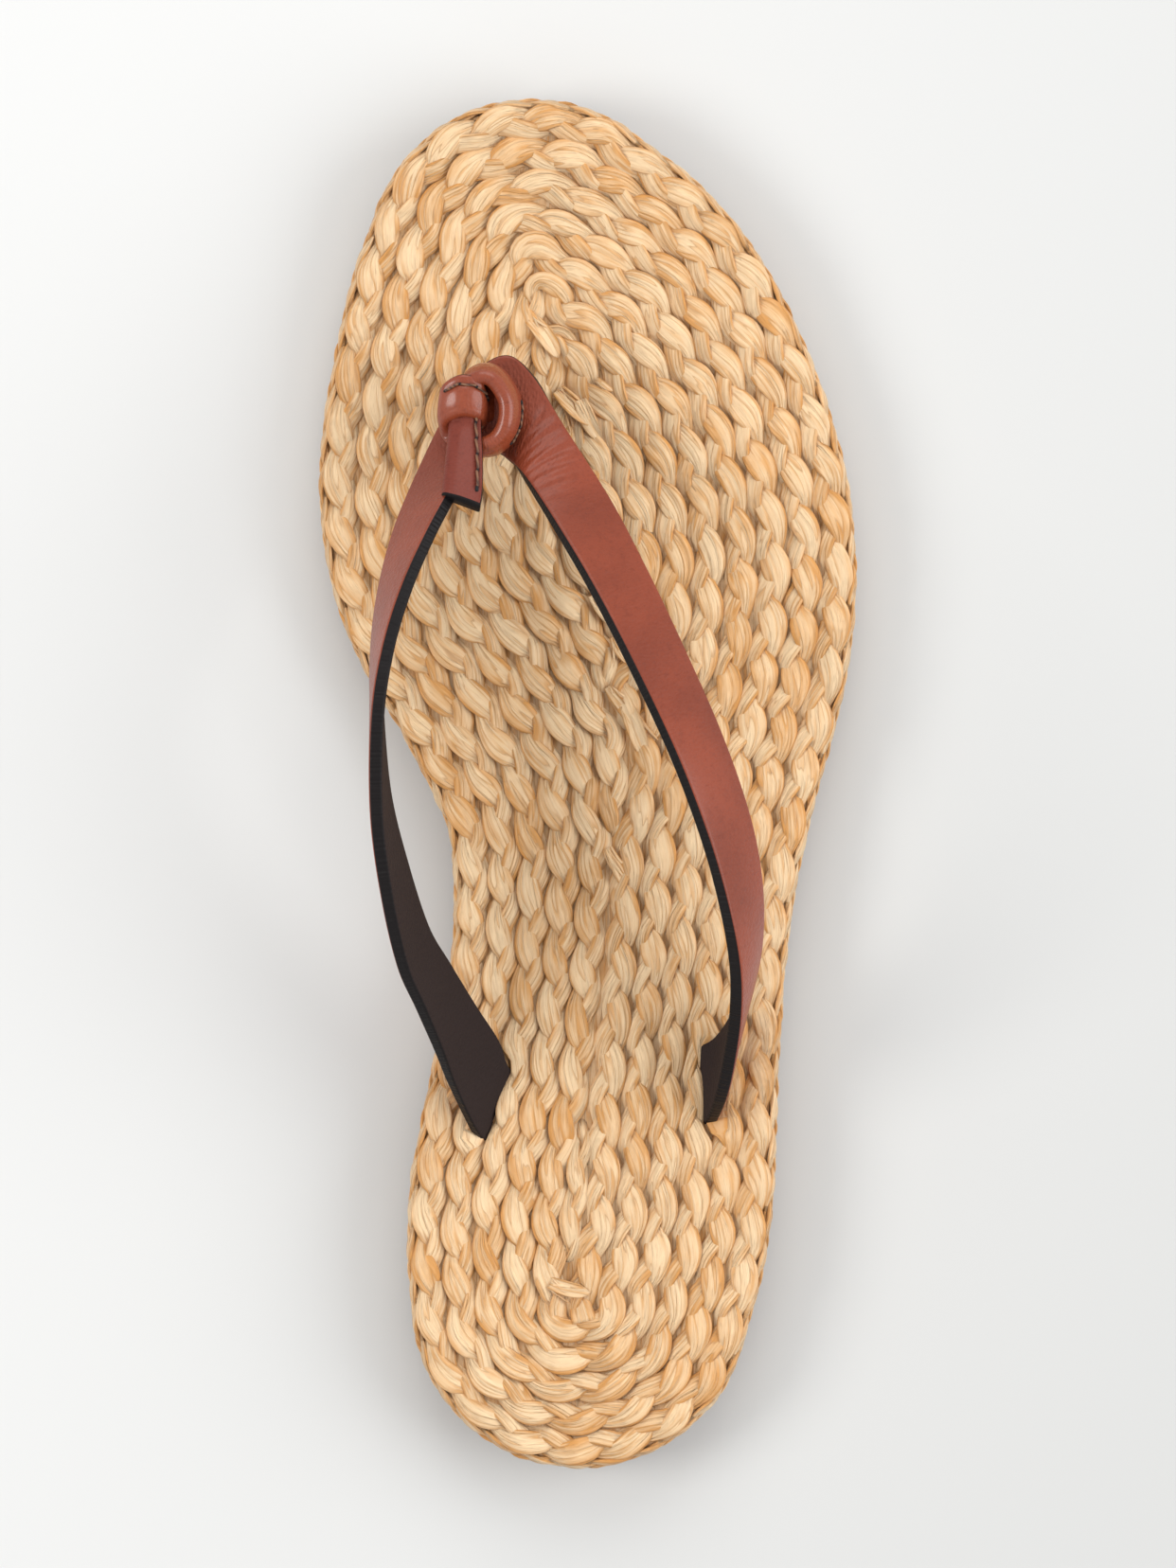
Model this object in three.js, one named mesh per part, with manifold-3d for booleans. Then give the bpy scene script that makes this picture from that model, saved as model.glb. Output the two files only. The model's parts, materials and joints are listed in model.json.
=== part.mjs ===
// Leather flip-flop for the right foot, in millimetres: +X outer side, +Y toe, +Z up,
// standing on the floor at z = 0 with the middle of the sole over the origin.
// A V-shaped leather strap and a knotted toe thong hold the foot on a footbed of sewn plaited rows,
// which a plaited band closes round the side, over a leather outsole.

import * as THREE from 'three';
import { mergeVertices } from 'three/addons/utils/BufferGeometryUtils.js';
import Module from 'manifold-3d';

const wasm = await Module();
wasm.setup();

// Sole
const soleLength = 252;
const ballWidth = 99;
const outsoleThickness = 3.2;
const outsoleInset = 1.3;
const toeSpring = 4;
const footbedThickness = 9.5;

// Plaited rows of the footbed and of the band round its side
const rowPitch = 5.8;
const rowsAtHeel = 5.5;
const grooveDepth = 1.4;
const plaitRise = 0.35;
const bandWall = 1.6;
const bandDrop = 1.5;
const bandBulge = 0.5;

// Straps
const strapWidth = 12.7;
const strapThickness = 2.5;
const strapRise = 34;
const thongWidth = 7.2;
const thongThickness = 3;

// Free space between pieces, and how far a cutting solid runs past what it cuts
const clearance = 0.3;
const overrun = 2;

// Spine of the sole from heel to toe: its place across as a share of the ball width, its place
// along as a share of the way between the heel's and the toe's centres, and the distance from the
// spine to the sole's edge as a share of the ball width.
const spineRows = [
  { across: -0.016, along: 0.000, reach: 0.316 },
  { across: 0.003, along: 0.090, reach: 0.338 },
  { across: 0.041, along: 0.254, reach: 0.316 },
  { across: 0.064, along: 0.388, reach: 0.316 },
  { across: 0.073, along: 0.511, reach: 0.352 },
  { across: 0.045, along: 0.660, reach: 0.448 },
  { across: -0.008, along: 0.766, reach: 0.491 },
  { across: -0.047, along: 0.898, reach: 0.425 },
  { across: -0.104, along: 1.000, reach: 0.313 },
];

// Side profile from heel to toe: place as a share of the sole's length, height of the underside as
// a share of the toe spring, and thickness of the outsole as a share of its thickness at the ball.
const profileRows = [
  { along: 0.000, lift: 0.00, outsole: 1.60 },
  { along: 0.235, lift: 0.00, outsole: 1.60 },
  { along: 0.270, lift: 0.42, outsole: 1.06 },
  { along: 0.400, lift: 0.28, outsole: 1.02 },
  { along: 0.540, lift: 0.00, outsole: 1.00 },
  { along: 0.800, lift: 0.00, outsole: 1.00 },
  { along: 0.860, lift: 0.09, outsole: 1.00 },
  { along: 0.930, lift: 0.42, outsole: 1.00 },
  { along: 1.000, lift: 1.00, outsole: 1.00 },
];

// Strap from the inner slot over the apex to the outer slot. x, y and rise place the middle of the
// outer face as shares of ball width, sole length and strap rise; ax, ay and az run across it from
// the rear edge to the front edge as shares of the strap width.
const strapRows = [
  { x: -0.189, y: -0.231, rise: 0.000, ax: 0.39, ay: 1.05, az: 0.00 },
  { x: -0.219, y: -0.203, rise: 0.147, ax: 0.63, ay: 0.64, az: -0.48 },
  { x: -0.255, y: -0.177, rise: 0.282, ax: 0.47, ay: 0.65, az: -0.60 },
  { x: -0.295, y: -0.147, rise: 0.429, ax: 0.36, ay: 0.62, az: -0.70 },
  { x: -0.332, y: -0.118, rise: 0.559, ax: 0.30, ay: 0.55, az: -0.78 },
  { x: -0.365, y: -0.070, rise: 0.750, ax: 0.22, ay: 0.45, az: -0.87 },
  { x: -0.390, y: -0.015, rise: 0.912, ax: 0.11, ay: 0.28, az: -0.95 },
  { x: -0.396, y: 0.048, rise: 1.000, ax: -0.02, ay: 0.08, az: -1.00 },
  { x: -0.388, y: 0.093, rise: 0.960, ax: -0.19, ay: -0.12, az: -0.97 },
  { x: -0.366, y: 0.137, rise: 0.868, ax: -0.38, ay: -0.16, az: -0.91 },
  { x: -0.330, y: 0.180, rise: 0.740, ax: -0.54, ay: -0.09, az: -0.82 },
  { x: -0.286, y: 0.218, rise: 0.600, ax: -0.62, ay: 0.01, az: -0.66 },
  { x: -0.249, y: 0.245, rise: 0.510, ax: -0.32, ay: 0.77, az: -0.48 },
  { x: -0.207, y: 0.266, rise: 0.465, ax: -0.16, ay: 1.15, az: -0.09 },
  { x: -0.161, y: 0.275, rise: 0.450, ax: 0.12, ay: 1.40, az: -0.03 },
  { x: -0.125, y: 0.265, rise: 0.470, ax: 0.32, ay: 1.25, az: -0.09 },
  { x: -0.078, y: 0.240, rise: 0.555, ax: 0.58, ay: 0.71, az: -0.40 },
  { x: -0.009, y: 0.198, rise: 0.700, ax: 0.82, ay: 0.29, az: -0.49 },
  { x: 0.059, y: 0.150, rise: 0.838, ax: 0.78, ay: 0.23, az: -0.58 },
  { x: 0.131, y: 0.093, rise: 0.941, ax: 0.72, ay: 0.24, az: -0.65 },
  { x: 0.205, y: 0.029, rise: 0.985, ax: 0.66, ay: 0.28, az: -0.69 },
  { x: 0.259, y: -0.029, rise: 0.935, ax: 0.60, ay: 0.33, az: -0.73 },
  { x: 0.289, y: -0.076, rise: 0.832, ax: 0.50, ay: 0.38, az: -0.78 },
  { x: 0.302, y: -0.118, rise: 0.691, ax: 0.35, ay: 0.46, az: -0.82 },
  { x: 0.298, y: -0.152, rise: 0.529, ax: 0.24, ay: 0.55, az: -0.80 },
  { x: 0.281, y: -0.184, rise: 0.338, ax: 0.13, ay: 0.64, az: -0.75 },
  { x: 0.258, y: -0.207, rise: 0.162, ax: -0.01, ay: 0.83, az: -0.65 },
  { x: 0.234, y: -0.219, rise: 0.000, ax: -0.09, ay: 1.14, az: 0.00 },
];

// Toe thong: one folded and stitched strip. It comes up out of the footbed as the toe post, through
// a slit in the apex, and is knotted there. Places are from the post's middle at the height of the
// apex, and ax, ay and az run across the strip, all as shares of the thong width.
const postPlace = { across: -0.187, along: 0.275 };
const collarRows = [
  { x: -0.92, y: -0.72, z: 0.36, ax: 0.05, ay: 0.84, az: 0.10 },
  { x: -1.18, y: -0.42, z: 0.62, ax: 0.00, ay: 0.92, az: 0.12 },
  { x: -1.10, y: -0.05, z: 0.98, ax: 0.00, ay: 1.00, az: 0.06 },
  { x: -0.62, y: 0.16, z: 1.22, ax: 0.00, ay: 1.06, az: 0.00 },
  { x: -0.12, y: 0.05, z: 1.06, ax: 0.00, ay: 1.02, az: 0.06 },
  { x: 0.03, y: -0.18, z: 0.66, ax: 0.00, ay: 0.94, az: 0.10 },
  { x: 0.00, y: -0.32, z: 0.22, ax: 0.00, ay: 0.86, az: 0.10 },
];
const loopRows = [
  { x: -0.90, y: 0.36, z: 0.66, ax: 0.16, ay: -0.36, az: 0.64 },
  { x: -0.53, y: 0.56, z: 0.70, ax: -0.04, ay: -0.34, az: 0.80 },
  { x: -0.10, y: 0.62, z: 0.70, ax: -0.12, ay: -0.28, az: 0.90 },
  { x: 0.22, y: 0.35, z: 0.70, ax: -0.24, ay: -0.14, az: 0.94 },
  { x: 0.40, y: -0.08, z: 0.70, ax: -0.27, ay: 0.00, az: 0.94 },
  { x: 0.36, y: -0.52, z: 0.70, ax: -0.24, ay: 0.12, az: 0.90 },
  { x: 0.14, y: -0.84, z: 0.66, ax: -0.12, ay: 0.22, az: 0.74 },
  { x: -0.20, y: -0.94, z: 0.66, ax: 0.00, ay: 0.22, az: 0.50 },
];
const tailRows = [
  { x: -0.55, y: 0.32, z: 0.80, ax: 0.80, ay: 0.00, az: 0.00 },
  { x: -0.53, y: -0.24, z: 0.92, ax: 0.82, ay: 0.00, az: 0.00 },
  { x: -0.54, y: -0.72, z: 1.02, ax: 0.86, ay: 0.02, az: 0.00 },
  { x: -0.55, y: -1.28, z: 1.26, ax: 0.94, ay: 0.00, az: 0.00 },
  { x: -0.57, y: -1.83, z: 1.50, ax: 1.00, ay: -0.02, az: 0.00 },
  { x: -0.59, y: -2.22, z: 1.66, ax: 1.00, ay: -0.16, az: 0.04 },
  { x: -0.62, y: -2.46, z: 1.76, ax: 0.96, ay: -0.36, az: 0.10 },
];

const materials = {
  raffia: new THREE.MeshStandardMaterial({ color: 0xc9995a, roughness: 0.7, metalness: 0 }),
  leather: new THREE.MeshStandardMaterial({ color: 0x84452f, roughness: 0.42, metalness: 0 }),
  soleLeather: new THREE.MeshStandardMaterial({ color: 0x5d3c2a, roughness: 0.6, metalness: 0 }),
};

// A value of a table at a place between its rows
function between(rows, column, along) {
  const next = Math.min(Math.max(rows.findIndex((row) => row.along > along), 1), rows.length - 1);
  const last = along >= rows[rows.length - 1].along ? rows.length - 1 : next;
  const from = rows[last - 1];
  const to = rows[last];
  const share = THREE.MathUtils.clamp((along - from.along) / (to.along - from.along), 0, 1);
  return THREE.MathUtils.lerp(from[column], to[column], share);
}

const shareAlong = (y) => y / soleLength + 0.5;
const groundHeight = (y) => toeSpring * between(profileRows, 'lift', shareAlong(y));
const outsoleTop = (y) =>
  groundHeight(y) + outsoleThickness * between(profileRows, 'outsole', shareAlong(y));
const footbedUnder = (y) => outsoleTop(y) + clearance;
const footbedTop = (y) => footbedUnder(y) + footbedThickness;

// Closed solid from a list of points and triangles: points that coincide are merged, and triangles
// that shrink to a line or a point go.
function solidFrom(points, triangles) {
  const flat = new THREE.BufferGeometry();
  flat.setAttribute('position', new THREE.Float32BufferAttribute(points.flat(), 3));
  flat.setIndex(triangles.flat());
  const merged = mergeVertices(flat, 1e-4);
  const index = merged.index.array;
  const kept = [];
  for (let i = 0; i < index.length; i += 3) {
    const [a, b, c] = [index[i], index[i + 1], index[i + 2]];
    if (a !== b && b !== c && c !== a) kept.push(a, b, c);
  }
  return new wasm.Manifold(new wasm.Mesh({
    numProp: 3,
    vertProperties: new Float32Array(merged.attributes.position.array),
    triVerts: new Uint32Array(kept),
  }));
}

// Stations round the sole, counter-clockwise from the heel: the spine point, the direction from it
// to the edge, and how far the edge lies. The ends of the spine carry the round of heel and toe.
function stationsRound(sideSteps, endSteps) {
  const heelCentre = -soleLength / 2 + spineRows[0].reach * ballWidth;
  const toeCentre = soleLength / 2 - spineRows[spineRows.length - 1].reach * ballWidth;
  const spine = new THREE.CatmullRomCurve3(spineRows.map((row) => new THREE.Vector3(
    row.across * ballWidth,
    THREE.MathUtils.lerp(heelCentre, toeCentre, row.along),
    row.reach * ballWidth,
  )), false, 'catmullrom', 0.5);

  // Direction to the edge on one side: the edge touches every circle round the spine
  const station = (share, side) => {
    const { x, y, z: reach } = spine.getPointAt(share);
    const ahead = spine.getTangentAt(share);
    const heading = Math.atan2(ahead.y, ahead.x);
    const lean = Math.acos(-ahead.z / Math.hypot(ahead.x, ahead.y));
    return { x, y, reach, angle: heading + side * lean };
  };
  const arc = (from, to, turn) => {
    const sweep = THREE.MathUtils.euclideanModulo(to.angle - from.angle, turn);
    return Array.from({ length: endSteps - 1 }, (_, i) => (
      { ...from, angle: from.angle + sweep * (i + 1) / endSteps }));
  };
  const outer = Array.from({ length: sideSteps + 1 }, (_, i) => station(i / sideSteps, -1));
  const inner = Array.from({ length: sideSteps + 1 }, (_, i) => station(1 - i / sideSteps, 1));
  const toeArc = arc(outer[sideSteps], inner[0], 2 * Math.PI);
  const heelArc = arc(inner[sideSteps], outer[0], 2 * Math.PI);
  const round = [...outer, ...toeArc, ...inner, ...heelArc];

  // The middle of the sole's box lies over the origin
  const box = new THREE.Box2().setFromPoints(round.map((s) => new THREE.Vector2(...inFromEdge(s, 0))));
  const middle = box.getCenter(new THREE.Vector2());
  return round.map((s) => ({ ...s, x: s.x - middle.x, y: s.y - middle.y }));
}
const stations = stationsRound(50, 14);

// Point at a station, a given distance in from the sole's edge but never past the spine
function inFromEdge(station, inset) {
  const reach = Math.max(station.reach - inset, 0);
  return [station.x + reach * Math.cos(station.angle), station.y + reach * Math.sin(station.angle)];
}

// Closed solid of rings that run round the sole. A ring gives the point at a station; the rings go
// from the middle of the underside out, up the side and in over the top, or back to the first one.
function solidOfRings(rings, closed = false) {
  const count = stations.length;
  const points = rings.flatMap((ring) => stations.map(ring));
  const triangles = [];
  const last = closed ? rings.length : rings.length - 1;
  for (let k = 0; k < last; k += 1) {
    for (let i = 0; i < count; i += 1) {
      const next = (i + 1) % count;
      const above = (k + 1) % rings.length;
      const [a, b] = [k * count + i, k * count + next];
      const [c, d] = [above * count + next, above * count + i];
      triangles.push([a, b, c], [a, c, d]);
    }
  }
  return solidFrom(points, triangles);
}

// Ring at one inset, with a height that depends on the place along the sole
const ringAt = (inset, height) => (station) => {
  const [x, y] = inFromEdge(station, inset);
  return [x, y, height(y)];
};

function makeOutsole() {
  const insets = [ballWidth, ballWidth / 4, ballWidth / 12, outsoleInset];
  return solidOfRings([
    ...insets.map((inset) => ringAt(inset, groundHeight)),
    ...insets.toReversed().map((inset) => ringAt(inset, outsoleTop)),
  ]);
}

// Footbed: rows of plait lie side by side from the edge to the spine, parted by grooves. A row has
// a groove line and two crest lines, whose points rise in turn as the strands of the plait do.
const footbedInset = bandWall + clearance;
const linesInRow = 3;

function pitchAt(station) {
  return Math.min((station.reach - footbedInset) / rowsAtHeel, rowPitch);
}

function grooveAt(rowsIn) {
  const share = rowsIn - Math.floor(rowsIn);
  return grooveDepth * Math.max(0, 1 - linesInRow * Math.min(share, 1 - share));
}

function plaitLine(line) {
  return (station, i) => {
    const pitch = pitchAt(station);
    const wanted = footbedInset + pitch * line / linesInRow;
    const inset = Math.min(wanted, station.reach);
    const [x, y] = inFromEdge(station, inset);
    const onCrest = line % linesInRow !== 0 && wanted < station.reach;
    const strand = onCrest ? plaitRise * ((i + line) % 2 ? 1 : -1) : 0;
    return [x, y, footbedTop(y) - grooveAt((inset - footbedInset) / pitch) + strand];
  };
}

function makeFootbed(cuts) {
  const mostRows = Math.max(...stations.map((s) => (s.reach - footbedInset) / pitchAt(s)));
  const lines = Math.ceil(mostRows * linesInRow) + 1;
  const under = [ballWidth, ballWidth / 5, footbedInset].map((inset) => ringAt(inset, footbedUnder));
  const top = Array.from({ length: lines }, (_, line) => plaitLine(line));
  return cuts.reduce((solid, cut) => solid.subtract(cut), solidOfRings([...under, ...top]));
}

// Band round the side: two plaited rows one above the other, as heights up the band and bulges
function makeBand() {
  const section = [
    { up: 0.00, out: 0.35 },
    { up: 0.25, out: 1.00 },
    { up: 0.50, out: 0.00 },
    { up: 0.75, out: 1.00 },
    { up: 1.00, out: 0.20 },
  ];
  const height = (y, up) => THREE.MathUtils.lerp(footbedUnder(y), footbedTop(y) - bandDrop, up);
  const outside = section.map(({ up, out }) => ringAt(bandBulge * (1 - out), (y) => height(y, up)));
  const inside = [1, 0].map((up) => ringAt(bandWall, (y) => height(y, up)));
  return solidOfRings([...outside, ...inside], true);
}

// Flat strip that follows its rows. A row has the middle of its outer face and the vector across
// it; the face grows by a clearance on every side for the room that the strip needs.
function strip(rows, thickness, { grow = 0, stepsPerRow = 2, edgeRound = 0.3 } = {}) {
  const middles = new THREE.CatmullRomCurve3(rows.map((row) => row.at), false, 'catmullrom', 0.5);
  const across = new THREE.CatmullRomCurve3(rows.map((row) => row.across), false, 'catmullrom', 0.5);
  const steps = (rows.length - 1) * stepsPerRow;
  const round = edgeRound * thickness;
  const points = [];
  const triangles = [];
  for (let j = 0; j <= steps; j += 1) {
    const middle = middles.getPoint(j / steps);
    const side = across.getPoint(j / steps);
    const half = side.length() / 2 + grow;
    side.normalize();
    const up = middles.getTangent(j / steps).cross(side).normalize();
    const [top, bottom] = [grow, -thickness - grow];
    const section = [
      [-half, top - round], [-half, bottom + round], [-half + round, bottom], [half - round, bottom],
      [half, bottom + round], [half, top - round], [half - round, top], [-half + round, top],
    ];
    section.forEach(([v, w]) => {
      points.push(middle.clone().addScaledVector(side, v).addScaledVector(up, w).toArray());
    });
  }
  const corners = points.length / (steps + 1);
  for (let j = 0; j < steps; j += 1) {
    for (let k = 0; k < corners; k += 1) {
      const next = (k + 1) % corners;
      const [a, b] = [j * corners + k, j * corners + next];
      triangles.push([a, b, b + corners], [a, b + corners, a + corners]);
    }
  }
  const end = steps * corners;
  for (let k = 1; k < corners - 1; k += 1) {
    triangles.push([0, k + 1, k], [end, end + k, end + k + 1]);
  }
  return solidFrom(points, triangles);
}

// Strap: its two ends go straight down through the footbed and stop over the outsole
const ballTop = footbedTop(0.15 * soleLength);

function makeStrap(grow, below) {
  const rows = strapRows.map((row) => ({
    at: new THREE.Vector3(row.x * ballWidth, row.y * soleLength, ballTop + row.rise * strapRise),
    across: new THREE.Vector3(row.ax, row.ay, row.az).multiplyScalar(strapWidth),
  }));
  const foot = ({ at, across }) => ({
    at: new THREE.Vector3(at.x, at.y, footbedUnder(at.y) - below),
    across: across.clone(),
  });
  const all = [foot(rows[0]), ...rows, foot(rows[rows.length - 1])];
  return strip(all, strapThickness, { grow });
}

// Toe post, upright through the footbed and the slit in the strap's apex
const apexHeight = ballTop + Math.min(...strapRows.slice(1, -1).filter((row) => row.y > 0.2)
  .map((row) => row.rise)) * strapRise;
const post = new THREE.Vector3(postPlace.across * ballWidth, postPlace.along * soleLength, apexHeight);

function makePost(grow, below) {
  const heights = [footbedUnder(post.y) - below, apexHeight, apexHeight + thongThickness];
  const across = new THREE.Vector3(0, thongWidth, 0);
  return strip(heights.map((z) => ({
    at: new THREE.Vector3(post.x - thongThickness / 2, post.y, z),
    across,
  })), thongThickness, { grow, stepsPerRow: 1 });
}

function knotStrip(rows) {
  return strip(rows.map((row) => ({
    at: new THREE.Vector3(row.x, row.y, row.z).multiplyScalar(thongWidth).add(post),
    across: new THREE.Vector3(row.ax, row.ay, row.az).multiplyScalar(thongWidth),
  })), thongThickness, { edgeRound: 0.4 });
}

const strapRoom = makeStrap(clearance, overrun);
const postRoom = makePost(clearance, overrun);
const knot = [collarRows, loopRows, tailRows].map(knotStrip).reduce((sum, piece) => sum.add(piece));

const pieces = [
  ['outsole', makeOutsole(), materials.soleLeather],
  ['footbed_braid', makeFootbed([strapRoom, postRoom]), materials.raffia],
  ['edge_braid', makeBand(), materials.raffia],
  ['strap', makeStrap(0, 0).subtract(postRoom), materials.leather],
  ['toe_thong', knot.subtract(strapRoom).add(makePost(0, 0)), materials.leather],
];

function meshOf([name, solid, material]) {
  const { vertProperties, triVerts } = solid.getMesh();
  const geometry = new THREE.BufferGeometry();
  geometry.setAttribute('position', new THREE.BufferAttribute(vertProperties, 3));
  geometry.setIndex(new THREE.BufferAttribute(triVerts, 1));
  geometry.computeVertexNormals();
  const mesh = new THREE.Mesh(geometry, material);
  mesh.name = name;
  return mesh;
}

const flipFlop = new THREE.Group();
flipFlop.add(...pieces.map(meshOf));

export default flipFlop;
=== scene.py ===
# Right flip-flop: a leather strap and a knotted toe thong on a footbed of plaited raffia.
# Shapes are worked out in millimetres (+X outer side, +Y toe, +Z up); makeMesh turns them into metres.
import json
import math

import bmesh
import bpy
import numpy as np
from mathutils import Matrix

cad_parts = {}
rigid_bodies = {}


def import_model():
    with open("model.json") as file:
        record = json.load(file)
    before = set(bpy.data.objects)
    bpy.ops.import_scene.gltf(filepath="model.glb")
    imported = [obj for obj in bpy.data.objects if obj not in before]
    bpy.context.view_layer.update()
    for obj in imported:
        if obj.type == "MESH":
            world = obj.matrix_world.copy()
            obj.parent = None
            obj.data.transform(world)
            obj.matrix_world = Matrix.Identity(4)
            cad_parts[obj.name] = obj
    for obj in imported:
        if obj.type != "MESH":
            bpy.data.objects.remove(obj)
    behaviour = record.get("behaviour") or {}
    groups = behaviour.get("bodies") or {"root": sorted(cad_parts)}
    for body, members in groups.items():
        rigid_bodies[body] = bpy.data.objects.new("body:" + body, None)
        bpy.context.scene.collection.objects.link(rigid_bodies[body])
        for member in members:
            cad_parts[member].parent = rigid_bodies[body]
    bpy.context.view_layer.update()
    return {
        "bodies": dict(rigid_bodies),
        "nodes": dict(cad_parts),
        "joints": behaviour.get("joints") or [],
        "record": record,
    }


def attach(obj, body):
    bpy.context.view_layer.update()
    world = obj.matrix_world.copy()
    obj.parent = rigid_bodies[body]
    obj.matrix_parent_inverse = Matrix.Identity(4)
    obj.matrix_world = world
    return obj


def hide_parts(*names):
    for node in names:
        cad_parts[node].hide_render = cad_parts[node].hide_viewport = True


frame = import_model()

rng = np.random.default_rng(11)
metre = 0.001  # one millimetre in Blender's metres


# Small tools for curves

def catmullRom(rows, count):
    # uniform Catmull-Rom curve through the rows, with its ends carried on in a straight line
    rows = np.asarray(rows, float)
    padded = np.vstack([2 * rows[0] - rows[1], rows, 2 * rows[-1] - rows[-2]])
    place = np.linspace(0, len(rows) - 1, count)
    start = np.minimum(place.astype(int), len(rows) - 2)
    f = (place - start)[:, None]
    p0, p1, p2, p3 = (padded[start + k] for k in range(4))
    v1, v2 = 0.5 * (p2 - p0), 0.5 * (p3 - p1)
    return (2 * p1 - 2 * p2 + v1 + v2) * f**3 + (-3 * p1 + 3 * p2 - 2 * v1 - v2) * f**2 + v1 * f + p1


def unit(vectors):
    return vectors / np.maximum(np.linalg.norm(vectors, axis=-1, keepdims=True), 1e-9)


def smoothStep(low, high, value):
    f = np.clip((value - low) / (high - low), 0, 1)
    return f * f * (3 - 2 * f)


def lengthsAlong(path):
    steps = np.linalg.norm(np.diff(path, axis=0), axis=1)
    return np.concatenate([[0], np.cumsum(steps)])


def blur(values, width, closed):
    # running mean under a bell curve, its width counted in points; open ends are carried on straight
    reach = int(math.ceil(3 * width))
    bell = np.exp(-0.5 * (np.arange(-reach, reach + 1) / width)**2)
    bell /= bell.sum()
    if closed:
        longer = np.vstack([values[-reach:], values, values[:reach]])
    else:
        before = 2 * values[0] - values[reach:0:-1]
        after = 2 * values[-1] - values[-2:-reach - 2:-1]
        longer = np.vstack([before, values, after])
    return np.stack([np.convolve(column, bell, "valid") for column in longer.T], axis=1)


def evenPath(path, step, closed, soften):
    # the path again with points a step apart, smoothed over the length soften; smoothing what the
    # first smoothing took off as well leaves sharp turns nearly where they were
    if closed:
        path = np.vstack([path, path[:1]])
    along = lengthsAlong(path)
    count = max(int(round(along[-1] / step)), 8)
    wanted = np.linspace(0, along[-1], count + 1)
    even = np.stack([np.interp(wanted, along, path[:, k]) for k in range(path.shape[1])], axis=1)
    if closed:
        even = even[:-1]
    once = blur(even, soften / step, closed)
    return blur(2 * even - once, soften / step, closed)


def slope(values, closed):
    # change from point to point along the first axis
    if closed:
        return (np.roll(values, -1, axis=0) - np.roll(values, 1, axis=0)) / 2
    return np.gradient(values, axis=0)


# Meshes

def addObject(name, data):
    made = bpy.data.objects.new(name, data)
    bpy.context.scene.collection.objects.link(made)
    return made


def makeMesh(name, grids, material):
    # One object from grids of points (along, round, xyz). Each grid closes round its section, and
    # along as well if it says so. Otherwise it ends in two flat caps, or, if its first and last
    # rings are pinched to a line, in the merged points of that line.
    verts, faces, attributes = [], [], {}
    first = 0
    for grid in grids:
        points = grid["points"]
        rows, ring = points.shape[:2]
        number = first + np.arange(rows * ring).reshape(rows, ring)
        after = np.roll(number, -1, axis=0) if grid["closed"] else number[1:]
        here = number if grid["closed"] else number[:-1]
        quads = np.stack([here, np.roll(here, -1, axis=1), np.roll(after, -1, axis=1), after], axis=-1)
        faces.extend(quads.reshape(-1, 4).tolist())
        if not grid["closed"] and not grid["pinched"]:
            faces.append(number[0, ::-1].tolist())
            faces.append(number[-1].tolist())
        verts.append(points.reshape(-1, 3))
        for key, values in grid["attributes"].items():
            attributes.setdefault(key, []).append(values.reshape(-1, 3))
        first += rows * ring
    mesh = bpy.data.meshes.new(name)
    mesh.from_pydata((np.vstack(verts) * metre).tolist(), [], faces)
    for key, values in attributes.items():
        layer = mesh.attributes.new(key, "FLOAT_VECTOR", "POINT")
        layer.data.foreach_set("vector", np.vstack(values).astype(np.float32).ravel())
    if any(grid["pinched"] for grid in grids):
        whole = bmesh.new()
        whole.from_mesh(mesh)
        bmesh.ops.remove_doubles(whole, verts=whole.verts, dist=1e-6)
        whole.to_mesh(mesh)
        whole.free()
    mesh.polygons.foreach_set("use_smooth", np.ones(len(mesh.polygons), bool))
    mesh.materials.append(material)
    mesh.update()
    return addObject(name, mesh)


def makeGrid(points, closed=False, pinched=False, **attributes):
    return {"points": points, "closed": closed, "pinched": pinched, "attributes": attributes}


def columns(points, *values):
    # the three values of an attribute at every point
    return np.stack([np.broadcast_to(value, points.shape[:2]) for value in values], axis=-1)


def addPiece(piece, slotName, *nodes):
    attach(piece, "root")
    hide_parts(*nodes)


# Materials

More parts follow.
